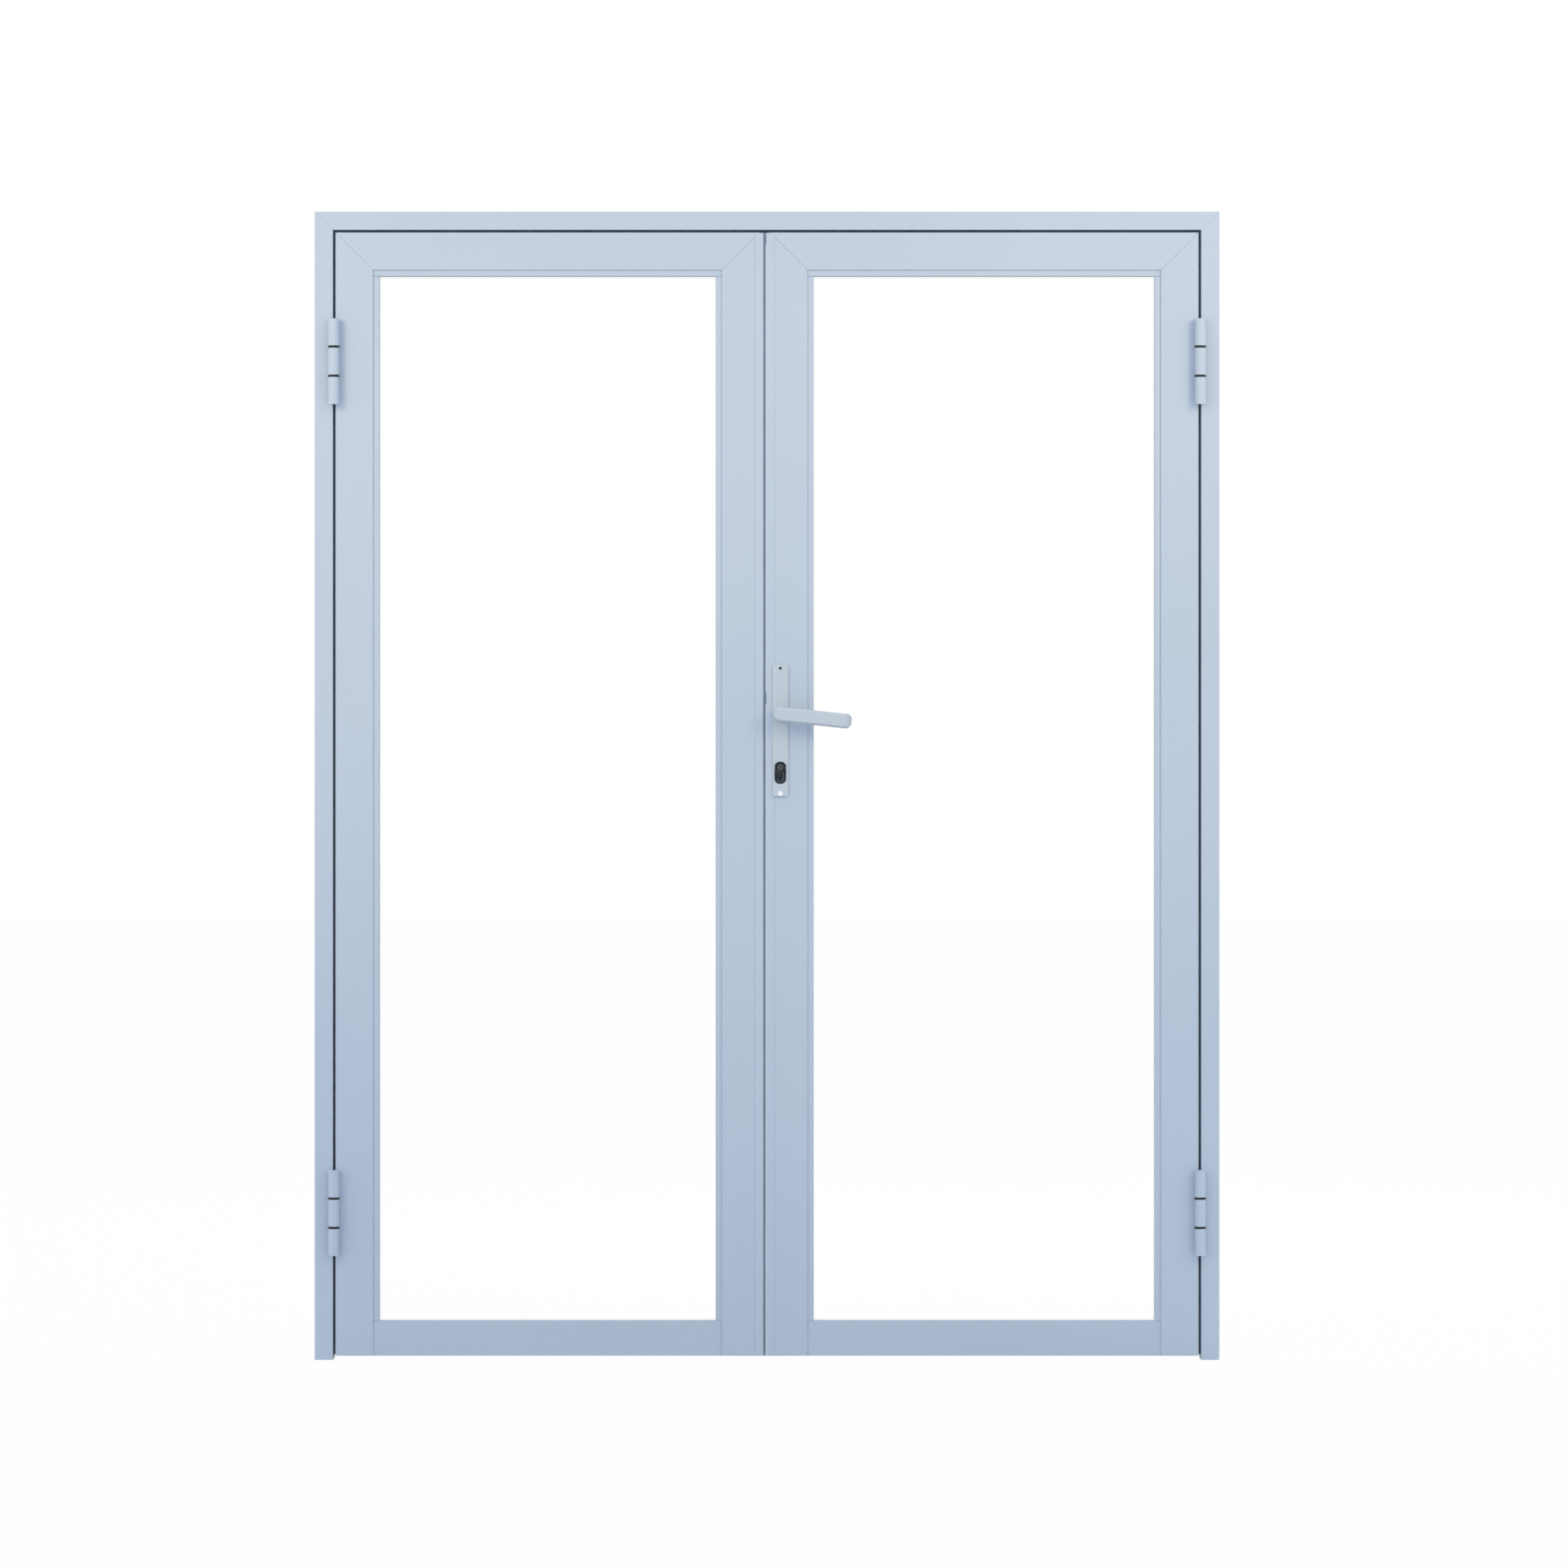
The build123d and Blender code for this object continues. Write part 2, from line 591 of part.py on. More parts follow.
def hinge_leaf_half(height):
    leg = (-LEAF_EDGE - HINGE_LEG, -LEAF_EDGE)
    half = box(leg, deep(LEG_START, LEG_END), (-HALF_HINGE, HALF_HINGE))
    half += knuckle(-KNUCKLE / 2, KNUCKLE / 2)
    half += box(leg, (AXIS_Y, FRONT + LEG_END), (-KNUCKLE / 2, KNUCKLE / 2))
    half -= pin_bore(-KNUCKLE / 2, KNUCKLE / 2)
    for cutter in countersinks(leg[0], -1):
        half -= cutter
    return Pos(0, 0, height) * half


def hinge_pin(height):
    pin = Cylinder(PIN_RADIUS, 2 * HALF_HINGE)
    pin = chamfer(pin.edges(), 0.5)
    return Pos(AXIS_X, AXIS_Y, height) * pin


def hinge_washers(height):
    ring = Cylinder(BARREL_RADIUS + WASHER_PROUD, WASHER - 2 * SEAT_GAP)
    ring -= Cylinder(PIN_RADIUS + PIN_PLAY, WASHER)
    rise = (KNUCKLE + WASHER) / 2
    return [Pos(AXIS_X, AXIS_Y, height + way * rise) * ring for way in (-1, 1)]


def hinge_screws(height, face, way):
    """Countersunk screws whose heads lie flush in the leg and whose shanks go into the profile."""
    screws = []
    for step in HINGE_SCREW_Z:
        head_cone = Pos(0, 0, -HINGE_LEG / 2 + 0.05) * Cone(HINGE_SCREW_RADIUS - 0.1, HINGE_SCREW_HEAD - 0.1,
                                                            HINGE_LEG - 0.1)
        shank = Pos(0, 0, -HINGE_SCREW_LENGTH / 2 - 1) * Cylinder(HINGE_SCREW_RADIUS - 0.1, HINGE_SCREW_LENGTH)
        spot = Pos(face, FRONT + SCREW_DEPTH, height + step) * Rot(0, 90 * way, 0)
        screws.append(spot * (head_cone + shank))
    return screws


# Lock, handle and cylinder of the active leaf, drawn where they stand


FACEPLATE_Z = (HANDLE_Z - CASE_LOW - FACEPLATE_OVER, HANDLE_Z + CASE_HIGH + FACEPLATE_OVER)
CASE_Z = (HANDLE_Z - CASE_LOW, HANDLE_Z + CASE_HIGH)
CASE_X = (RIGHT_MEETING + FACEPLATE_THICK + SEAT_GAP, RIGHT_MEETING + CASE_DEPTH)
LATCH_Z = (HANDLE_Z + LATCH_ABOVE - LATCH_HEIGHT / 2, HANDLE_Z + LATCH_ABOVE + LATCH_HEIGHT / 2)
BOLT_Z = (HANDLE_Z - BOLT_BELOW - BOLT_HEIGHT / 2, HANDLE_Z - BOLT_BELOW + BOLT_HEIGHT / 2)


def centred(size):
    """A (low, high) pair along Y, centred in the depth of the leaf."""
    return deep(MIDDLE - size / 2, MIDDLE + size / 2)


def grown(pair, gap):
    return (pair[0] - gap, pair[1] + gap)


def cylinder_outline(extra):
    """The keyhole outline of a profile cylinder, in x and z about the middle of its plug."""
    shape = Circle(CYLINDER_RADIUS + extra)
    tab_low = CYLINDER_DROP + extra
    tab = Pos(0, -tab_low / 2) * Rectangle(CYLINDER_TAB + 2 * extra, tab_low)
    tab = fillet(tab.vertices().group_by(Axis.Y)[0], CYLINDER_TAB / 2 - 0.2)
    return shape + tab


def along_depth(shape, x, z, low, high):
    """Extrudes an outline drawn in x and z from depth low to depth high."""
    plane = Plane(origin=(x, FRONT + high, z), x_dir=(1, 0, 0), z_dir=(0, -1, 0))
    return extrude(plane * shape, amount=high - low)


def lock_case():
    case = box(CASE_X, centred(CASE_THICK), CASE_Z)
    case -= box(grown(CASE_X, -CASE_WALL), centred(CASE_THICK - 2 * CASE_WALL), grown(CASE_Z, -CASE_WALL))
    mouth = (CASE_X[0] - 1, CASE_X[0] + 2 * CASE_WALL)
    case -= box(mouth, centred(LATCH_THICK + 2 * SLIP_GAP), grown(LATCH_Z, SLIP_GAP))
    case -= box(mouth, centred(BOLT_THICK + 2 * SLIP_GAP), grown(BOLT_Z, SLIP_GAP))
    case -= cross_hole(HUB_X, HANDLE_Z, FOLLOWER_RADIUS + SLIP_GAP, (0, DEPTH))
    return case - along_depth(cylinder_outline(SLIP_GAP), HUB_X, CYLINDER_Z, 0, DEPTH)


def faceplate():
    plate = box((RIGHT_MEETING, RIGHT_MEETING + FACEPLATE_THICK), centred(FACEPLATE_WIDTH), FACEPLATE_Z)
    hole = (RIGHT_MEETING - 1, RIGHT_MEETING + FACEPLATE_THICK + 1)
    plate -= box(hole, centred(LATCH_THICK + 2 * SLIP_GAP), grown(LATCH_Z, SLIP_GAP))
    plate -= box(hole, centred(BOLT_THICK + 2 * SLIP_GAP), grown(BOLT_Z, SLIP_GAP))
    return plate


def latch_bolt():
    """Its nose is bevelled on the closing side, and its tail runs back over the follower."""
    nose = RIGHT_MEETING - LATCH_OUT
    bolt = box((nose, RIGHT_MEETING + LATCH_TAIL), centred(LATCH_THICK), LATCH_Z)
    low, high = centred(LATCH_THICK)
    corners = ((nose, high + 1), (nose - 1, high + 1), (nose - 1, low + LATCH_BLUNT), (nose, low + LATCH_BLUNT))
    wedge = make_face(Polyline(*corners, (RIGHT_MEETING, high), (RIGHT_MEETING, high + 1), close=True))
    bolt -= Pos(0, 0, LATCH_Z[0] - 1) * extrude(wedge, amount=LATCH_HEIGHT + 2)
    return bolt


def dead_bolt():
    bolt = box((RIGHT_MEETING + BOLT_SUNK, RIGHT_MEETING + BOLT_TAIL), centred(BOLT_THICK), BOLT_Z)
    return fillet(bolt.edges().filter_by(Axis.Y).group_by(Axis.X)[0], 1.5)


def spindle():
    """The square bar and the follower that it turns in the lock."""
    ends = (-PLATE_THICK - SPINDLE_GRIP, DEPTH + PLATE_THICK + SPINDLE_GRIP)
    bar = box((HUB_X - SPINDLE / 2, HUB_X + SPINDLE / 2), deep(*ends), (HANDLE_Z - SPINDLE / 2, HANDLE_Z + SPINDLE / 2))
    follower = cross_hole(HUB_X, HANDLE_Z, FOLLOWER_RADIUS, (MIDDLE - CASE_THICK / 2, MIDDLE + CASE_THICK / 2))
    play = SPINDLE / 2 + SEAT_GAP
    follower -= box((HUB_X - play, HUB_X + play), deep(0, DEPTH), (HANDLE_Z - play, HANDLE_Z + play))
    return [bar, follower]


def handle_plate():
    """A long plate with softened edges and a round boss under the lever, on the front face."""
    low = HANDLE_Z - PLATE_BOTTOM
    high = HANDLE_Z + PLATE_TOP
    middle = (low + high) / 2
    shape = RectangleRounded(PLATE_WIDTH, high - low, PLATE_CORNER)
    plate = along_depth(shape, HUB_X, middle, -PLATE_THICK, 0)
    front_edges = plate.edges().group_by(Axis.Y)[0]
    plate = fillet(front_edges, PLATE_ROUND)
    plate += cross_hole(HUB_X, HANDLE_Z, HUB_RADIUS, (-PLATE_THICK - HUB_BOSS, -PLATE_THICK + 1))
    plate -= cross_hole(HUB_X, HANDLE_Z, SPINDLE_HOLE, (-PLATE_THICK - HUB_BOSS - 1, 1))
    plate -= along_depth(cylinder_outline(SLIP_GAP), HUB_X, CYLINDER_Z, -PLATE_THICK - 1, 1)
    for height in (HANDLE_Z + SCREW_TOP, HANDLE_Z - SCREW_BOTTOM):
        plate -= cross_hole(HUB_X, height, SCREW_RADIUS + SEAT_GAP, (-PLATE_THICK - 1, 1))
    flange_edge = RIGHT_MEETING + CAP_FLANGE + SEAT_GAP
    return plate - box((RIGHT_MEETING, flange_edge), deep(-CAP_THICK - SEAT_GAP, 1), (low - 1, high + 1))


def lever_neck():
    """The round neck that rises from the boss, turned about the spindle."""
    foot = PLATE_THICK + HUB_BOSS + SLIP_GAP
    wide = HUB_RADIUS
    points = [(0, foot), (wide, foot), (wide - HUB_TAPER, foot + LEVER_THICK), (wide, LEVER_OUT), (0, LEVER_OUT)]
    section = outline([(across, -out) for across, out in points], [((wide, -LEVER_OUT), LEVER_ROUND)])
    return revolve(section, axis=Axis.Y)


def lever_blade():
    """A rounded bar swept from the neck along the blade and round the bend back to the door."""
    depth = LEVER_OUT - LEVER_THICK / 2
    end = LEVER_REACH - LEVER_THICK / 2
    path = FilletPolyline((0, -depth, 0), (end, -depth, 0), (end, -LEVER_RETURN, 0), radius=LEVER_BEND)
    section = RectangleRounded(LEVER_THICK, LEVER_HEIGHT, LEVER_ROUND)
    bar = sweep(Plane(origin=path @ 0, x_dir=(0, 1, 0), z_dir=(1, 0, 0)) * section, path=path)
    length = LEVER_REACH + 2 * LEVER_TIP_ROUND
    front = Pos(LEVER_REACH - length / 2, 0) * RectangleRounded(length, LEVER_HEIGHT, LEVER_TIP_ROUND)
    return bar & along_depth(front, 0, 0, -LEVER_OUT - 1, 0).moved(Location((0, -FRONT, 0)))


def lever():
    """A cast lever: round neck over the boss, and a drooping blade whose tip turns back to the door."""
    grip = Rot(0, LEVER_DROOP, 0) * (lever_neck() + lever_blade())
    grip = Pos(HUB_X, FRONT, HANDLE_Z) * grip
    bore = SPINDLE / 2 + SEAT_GAP
    socket = deep(-PLATE_THICK - SPINDLE_GRIP - 1, 0)
    return grip - box((HUB_X - bore, HUB_X + bore), socket, (HANDLE_Z - bore, HANDLE_Z + bore))


def at_back(shape):
    """The same piece on the back face of the leaf."""
    return mirror(shape, about=Plane.XZ)


def cylinder_body():
    """The pinned body, with a round bore for the plugs and a waist where the cam turns."""
    ends = (-PLATE_THICK - CYLINDER_OUT, DEPTH + PLATE_THICK + CYLINDER_OUT)
    body = along_depth(cylinder_outline(0), HUB_X, CYLINDER_Z, *ends)
    rims = body.edges().group_by(Axis.Y)
    body = chamfer(rims[0] + rims[-1], CYLINDER_BEVEL)
    body -= cross_hole(HUB_X, CYLINDER_Z, PLUG_RADIUS + PLUG_PLAY, (ends[0] - 1, ends[1] + 1))
    room = CAM_THICK / 2 + SLIP_GAP
    reach = CAM_RADIUS + 1
    waist = box((HUB_X - reach, HUB_X + reach), deep(MIDDLE - room, MIDDLE + room),
                (CYLINDER_Z - reach, CYLINDER_Z + reach))
    return body - waist


def cylinder_plug():
    """Front and back plugs in one line, with the cam between them."""
    ends = (-PLATE_THICK - CYLINDER_OUT + PLUG_SUNK, DEPTH + PLATE_THICK + CYLINDER_OUT - PLUG_SUNK)
    plug = cross_hole(HUB_X, CYLINDER_Z, PLUG_RADIUS, ends)
    rims = plug.edges().group_by(Axis.Y)
    plug = chamfer(rims[0] + rims[-1], PLUG_BEVEL)
    plug += cross_hole(HUB_X, CYLINDER_Z, PLUG_RADIUS + CAM_RING, (MIDDLE - CAM_THICK / 2, MIDDLE + CAM_THICK / 2))
    cam_x = (HUB_X - CAM_WIDTH / 2, HUB_X + CAM_WIDTH / 2)
    plug += box(cam_x, centred(CAM_THICK), (CYLINDER_Z, CYLINDER_Z + CAM_RADIUS))
    slot_x = (HUB_X - KEY_SLOT / 2, HUB_X + KEY_SLOT / 2)
    slot_z = (CYLINDER_Z - KEY_SLOT_HEIGHT / 2, CYLINDER_Z + KEY_SLOT_HEIGHT / 2)
    for reach in ((ends[0] - 1, ends[0] + KEY_SLOT_DEPTH), (ends[1] - KEY_SLOT_DEPTH, ends[1] + 1)):
        plug -= box(slot_x, deep(*reach), slot_z)
    return plug


def cylinder_collar():
    """The dark oval rose round the cylinder, on the front plate."""
    height = COLLAR_TOP + COLLAR_BOTTOM
    oval = Pos(0, (COLLAR_TOP - COLLAR_BOTTOM) / 2) * RectangleRounded(COLLAR_WIDTH, height, COLLAR_ROUND)
    ring = along_depth(oval, HUB_X, CYLINDER_Z, -PLATE_THICK - COLLAR_THICK, -PLATE_THICK)
    ring = fillet(ring.edges().group_by(Axis.Y)[0], COLLAR_THICK / 2)
    return ring - along_depth(cylinder_outline(SEAT_GAP), HUB_X, CYLINDER_Z, -PLATE_THICK - COLLAR_THICK - 1, 0)


def handle_screws():
    screws = []
    for height in (HANDLE_Z + SCREW_TOP, HANDLE_Z - SCREW_BOTTOM):
        ends = (-PLATE_THICK + SCREW_SUNK, DEPTH + PLATE_THICK - SCREW_SUNK)
        screws.append(cross_hole(HUB_X, height, SCREW_RADIUS, ends))
    return screws


def screw_caps():
    """The round cap over the lower screw, on each side."""
    height = HANDLE_Z - SCREW_BOTTOM
    cap = cross_hole(HUB_X, height, SCREW_CAP_RADIUS, (-PLATE_THICK - SCREW_CAP_PROUD, -PLATE_THICK))
    cap = fillet(cap.edges().group_by(Axis.Y)[0], SCREW_CAP_PROUD / 2)
    return cap + cross_hole(HUB_X, height, SCREW_RADIUS, (-PLATE_THICK, -PLATE_THICK + SCREW_SUNK - SLIP_GAP))


def with_lock_cuts(stile):
    """Cuts the active meeting stile for the lock, the spindle, the cylinder and the through screws."""
    outside = RIGHT_MEETING + CAP_WEB
    stile -= box((outside - 1, outside + WALL + 1), centred(CASE_THICK + 2 * SLIP_GAP), grown(CASE_Z, SLIP_GAP))
    stile -= cross_hole(HUB_X, HANDLE_Z, SPINDLE_HOLE, (-1, DEPTH + 1))
    stile -= along_depth(cylinder_outline(SLIP_GAP), HUB_X, CYLINDER_Z, -1, DEPTH + 1)
    for height in (HANDLE_Z + SCREW_TOP, HANDLE_Z - SCREW_BOTTOM):
        stile -= cross_hole(HUB_X, height, SCREW_RADIUS + SEAT_GAP, (-1, DEPTH + 1))
    return stile


def plate_window(meeting_x, way, rise, width):
    """A cutter through the web of an edge profile, for a plate that lies flush in it."""
    across = sorted((meeting_x - way, meeting_x + way * (CAP_WEB + 1)))
    return box(across, centred(width + 2 * SEAT_GAP), grown(rise, SEAT_GAP))


# Strike plate and flush bolts of the passive leaf


def strike_box():
    """What the strike's hollow box takes up behind its plate."""
    across = (LEFT_MEETING - FACEPLATE_THICK - STRIKE_BOX_DEPTH, LEFT_MEETING - FACEPLATE_THICK)
    return across, centred(CASE_THICK), (BOLT_Z[0] - STRIKE_BOX_OVER, LATCH_Z[1] + STRIKE_BOX_OVER)


def strike_plate():
    plate = box((LEFT_MEETING - FACEPLATE_THICK, LEFT_MEETING), centred(FACEPLATE_WIDTH), FACEPLATE_Z)
    across, thick, rise = strike_box()
    plate += box(across, thick, rise)
    plate -= box(grown(across, -CASE_WALL), grown(thick, -CASE_WALL), grown(rise, -CASE_WALL))
    mouth = (LEFT_MEETING - FACEPLATE_THICK - 2 * CASE_WALL, LEFT_MEETING + 1)
    for opening in (LATCH_Z, BOLT_Z):
        plate -= box(mouth, centred(LATCH_THICK + STRIKE_PLAY), grown(opening, STRIKE_PLAY))
    return plate


def rod_x():
    return LEFT_MEETING - ROD_INSET


TOP_BOLT_Z = LEAF_TOP - REBATED - ROD_REST_GAP
LOW_BOLT_Z = LEAF_LIFT + ROD_REST_GAP


def flush_bolt(tip, way):
    """A rod with an arm and a thumb that stands in the slotted plate. The rod's tip looks along way."""
    foot = tip - way * ROD_LENGTH
    low, high = sorted((tip, foot))
    rod = Pos(rod_x(), FRONT + ROD_DEPTH, (low + high) / 2) * Cylinder(ROD_RADIUS, high - low)
    rod = chamfer(rod.edges().filter_by(GeomType.CIRCLE), 1.0)
    arm_z = (foot + way * THUMB_FROM_END - THUMB / 2, foot + way * THUMB_FROM_END + THUMB / 2)
    inner = LEFT_MEETING - CAP_WEB - WALL - 1
    rod += box((rod_x() - ROD_RADIUS, rod_x() + ROD_RADIUS), deep(MIDDLE - THUMB / 2, ROD_DEPTH), arm_z)
    rod += box((rod_x(), inner), centred(THUMB), arm_z)
    rod += box((inner, LEFT_MEETING - THUMB_RECESS), centred(THUMB - 2), grown(arm_z, -1))
    return rod


def thumb_z(tip, way):
    """The (low, high) pair that the thumb sweeps as the bolt slides."""
    start = tip - way * (ROD_LENGTH - THUMB_FROM_END)
    low, high = sorted((start, start + way * ROD_TRAVEL))
    return (low - THUMB / 2 + 1 - SLIP_GAP, high + THUMB / 2 - 1 + SLIP_GAP)


def thumb_plate_z(tip, way):
    low, high = thumb_z(tip, way)
    middle = (low + high) / 2
    return (middle - THUMB_PLATE_LENGTH / 2, middle + THUMB_PLATE_LENGTH / 2)


def thumb_plate(tip, way):
    rise = thumb_plate_z(tip, way)
    plate = box((LEFT_MEETING - THUMB_PLATE_THICK, LEFT_MEETING), centred(FACEPLATE_WIDTH), rise)
    for foot in ((rise[0], rise[0] + THUMB_PLATE_FOOT), (rise[1] - THUMB_PLATE_FOOT, rise[1])):
        plate += box((LEFT_MEETING - CAP_WEB, LEFT_MEETING), centred(FACEPLATE_WIDTH), foot)
    return plate - box((LEFT_MEETING - CAP_WEB, LEFT_MEETING + 1), centred(THUMB - 2 + 2 * SLIP_GAP), thumb_z(tip, way))


BOLTS = ((TOP_BOLT_Z, 1), (LOW_BOLT_Z, -1))


def with_bolt_cuts(stile):
    """Cuts the passive meeting stile for the strike's box and the arms of the flush bolts."""
    outside = LEFT_MEETING - CAP_WEB
    wall = (outside - WALL - 1, outside + 1)
    across, thick, rise = strike_box()
    stile -= box(wall, grown(thick, SLIP_GAP), grown(rise, SLIP_GAP))
    for tip, way in BOLTS:
        stile -= box(wall, centred(THUMB + 1), grown(thumb_z(tip, way), 2.0))
    return stile


def bolt_keeper():
    """The plate round the top bolt's hole, on the underside of the head's stop."""
    stop_low = FRAME_HEIGHT - FRAME_FACE - STOP_LIP
    across = (rod_x() - KEEPER_LENGTH / 2, rod_x() + KEEPER_LENGTH / 2)
    plate = box(across, deep(REBATE_DEPTH + 1, DEPTH - 1), (stop_low - KEEPER_THICK, stop_low))
    return plate - Pos(rod_x(), FRONT + ROD_DEPTH, stop_low) * Cylinder(ROD_RADIUS + ROD_HOLE_PLAY / 2, 4 * KEEPER_THICK)


def meeting_fin():
    """The grey fin that closes the meeting gap from the passive leaf."""
    across = (LEFT_MEETING, RIGHT_MEETING - FIN_CLEAR)
    return box(across, deep(FIN_DEPTH, FIN_DEPTH + FIN_THICK), (LEAF_LIFT, LEAF_TOP - CAP_SHORT))


# Writing every piece


def save(name, shapes):
    """Writes one node. A group of separate solids goes out as one compound."""
    solids = []
    for shape in shapes if isinstance(shapes, list) else [shapes]:
        solids.extend(shape.solids())
    part = solids[0] if len(solids) == 1 else Compound(children=solids)
    part.label = name
    export_step(part, f"parts/{name}.step")


def save_frame():
    jamb = left_jamb()
    save("left_jamb", jamb)
    save("right_jamb", mirror(jamb, about=Plane.YZ))
    save("head", head())
    cleat = frame_cleat()
    save("frame_corner_cleats", [cleat, mirror(cleat, about=Plane.YZ)])
    save("frame_seals", frame_seals())
    save("bolt_keeper", bolt_keeper())


def save_leaf(side, width, place, stile_cuts, profile_cuts):
    save(f"{side}_hinge_stile", place(hinge_stile()))
    save(f"{side}_meeting_stile", stile_cuts(place(meeting_stile(width))))
    save(f"{side}_top_rail", place(top_rail(width)))
    save(f"{side}_bottom_rail", place(bottom_rail(width)))
    save(f"{side}_spacer", place(spacer(width)))
    groups = {"glazing_beads": glazing_beads, "glass_panes": panes, "glazing_gaskets": gaskets,
              "setting_blocks": setting_blocks, "cleats": leaf_cleats}
    for name, make in groups.items():
        save(f"{side}_{name}", [place(piece) for piece in make(width)])
    profile = place(meeting_profile(width))
    for cutter in profile_cuts:
        profile -= cutter
    save(f"{side}_meeting_profile", profile)


def save_hinges():
    frame_side = -LEAF_EDGE - HINGE_GAP + HINGE_LEG
    leaf_side = -LEAF_EDGE - HINGE_LEG
    pins = []
    washers = []
    frame_screws = []
    leaf_screws = []
    for place_name, height in zip(("bottom", "top"), HINGE_Z):
        frame_half = hinge_frame_half(height)
        leaf_half = hinge_leaf_half(height)
        save(f"left_{place_name}_hinge_frame_half", frame_half)
        save(f"left_{place_name}_hinge_leaf_half", leaf_half)
        save(f"right_{place_name}_hinge_frame_half", mirror(frame_half, about=Plane.YZ))
        save(f"right_{place_name}_hinge_leaf_half", mirror(leaf_half, about=Plane.YZ))
        pins.append(hinge_pin(height))
        washers += hinge_washers(height)
        frame_screws += hinge_screws(height, frame_side, 1)
        leaf_screws += hinge_screws(height, leaf_side, -1)
    for name, group in (("hinge_pins", pins), ("hinge_washers", washers), ("frame_hinge_screws", frame_screws)):
        save(name, group + [mirror(piece, about=Plane.YZ) for piece in group])
    save("left_hinge_screws", leaf_screws)
    save("right_hinge_screws", [mirror(piece, about=Plane.YZ) for piece in leaf_screws])


def save_lock():
    save("lock_case", lock_case())
    save("lock_faceplate", faceplate())
    save("latch_bolt", latch_bolt())
    save("dead_bolt", dead_bolt())
    save("spindle_and_follower", spindle())
    plate = handle_plate()
    grip = lever()
    save("front_handle_plate", plate)
    save("back_handle_plate", at_back(plate))
    save("front_lever", grip)
    save("back_lever", at_back(grip))
    save("cylinder_body", cylinder_body())
    save("cylinder_plug", cylinder_plug())
    collar = cylinder_collar()
    save("cylinder_collars", [collar, at_back(collar)])
    save("handle_screws", handle_screws())
    cap = screw_caps()
    save("handle_screw_caps", [cap, at_back(cap)])


def save_passive_edge():
    save("strike_plate", strike_plate())
    save("meeting_fin", meeting_fin())
    for name, (tip, way) in zip(("top", "bottom"), BOLTS):
        save(f"{name}_flush_bolt", flush_bolt(tip, way))
    save("flush_bolt_plates", [thumb_plate(tip, way) for tip, way in BOLTS])


left_windows = [plate_window(LEFT_MEETING, -1, FACEPLATE_Z, FACEPLATE_WIDTH)]
left_windows += [plate_window(LEFT_MEETING, -1, thumb_plate_z(tip, way), FACEPLATE_WIDTH) for tip, way in BOLTS]
right_windows = [plate_window(RIGHT_MEETING, 1, FACEPLATE_Z, FACEPLATE_WIDTH)]

save_frame()
save_leaf("left", LEFT_WIDTH, place_left, with_bolt_cuts, left_windows)
save_leaf("right", RIGHT_WIDTH, place_right, with_lock_cuts, right_windows)
save_hinges()
save_lock()
save_passive_edge()
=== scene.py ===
import math

import bmesh
import bpy
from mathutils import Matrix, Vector

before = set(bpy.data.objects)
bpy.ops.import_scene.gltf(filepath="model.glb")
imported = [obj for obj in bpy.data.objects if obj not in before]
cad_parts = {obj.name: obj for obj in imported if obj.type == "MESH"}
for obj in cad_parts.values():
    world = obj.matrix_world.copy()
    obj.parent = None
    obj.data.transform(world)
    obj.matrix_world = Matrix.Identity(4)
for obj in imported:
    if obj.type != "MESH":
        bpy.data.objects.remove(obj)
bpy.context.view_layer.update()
scene = bpy.context.scene


# The camera
# It looks level and straight at the side of the doors that has the hinge barrels, through a long lens.
# It stands 12 m from the faces of the bars, 3 cm to the right of the doors' middle and 3 mm above it.
door_face = -0.025
camera_distance = 12.0
camera_right = 0.0293
camera_height = 0.993
camera_data = bpy.data.cameras.new("camera")
camera_data.sensor_width = 36.0
camera_data.lens = 159.79
camera_data.clip_start = 0.05
camera_data.clip_end = 200.0
camera = bpy.data.objects.new("camera", camera_data)
camera.location = (camera_right, door_face - camera_distance, camera_height)
camera.rotation_euler = (math.radians(90), 0, 0)
scene.collection.objects.link(camera)
scene.camera = camera


# Bars of the frame and the leaves, with their glazing beads and meeting edge profiles
# Extruded hollow aluminium bars, sawn to mitres and joined by cast cleats inside. They are powder coated
# in a pale blue-grey: a thin skin with a fine grain and a slow, barely seen change of tone along a bar.


def fresh_material(name):
    material = bpy.data.materials.new(name)
    material.use_nodes = True
    tree = material.node_tree
    return material, tree, tree.nodes["Principled BSDF"]


def grain(tree, scale, detail, stretch=(1, 1, 1)):
    """A noise pattern on the object's own coordinates, in metres."""
    place = tree.nodes.new("ShaderNodeTexCoord")
    size = tree.nodes.new("ShaderNodeMapping")
    size.inputs["Scale"].default_value = stretch
    noise = tree.nodes.new("ShaderNodeTexNoise")
    noise.inputs["Scale"].default_value = scale
    noise.inputs["Detail"].default_value = detail
    tree.links.new(place.outputs["Object"], size.inputs["Vector"])
    tree.links.new(size.outputs["Vector"], noise.inputs["Vector"])
    return noise


def vary_colour(tree, noise, shader, dark, light):
    """Lets the noise move the colour between two tones."""
    ramp = tree.nodes.new("ShaderNodeValToRGB")
    ramp.color_ramp.elements[0].position = 0.35
    ramp.color_ramp.elements[1].position = 0.65
    ramp.color_ramp.elements[0].color = (*dark, 1)
    ramp.color_ramp.elements[1].color = (*light, 1)
    tree.links.new(noise.outputs["Fac"], ramp.inputs["Fac"])
    tree.links.new(ramp.outputs["Color"], shader.inputs["Base Color"])


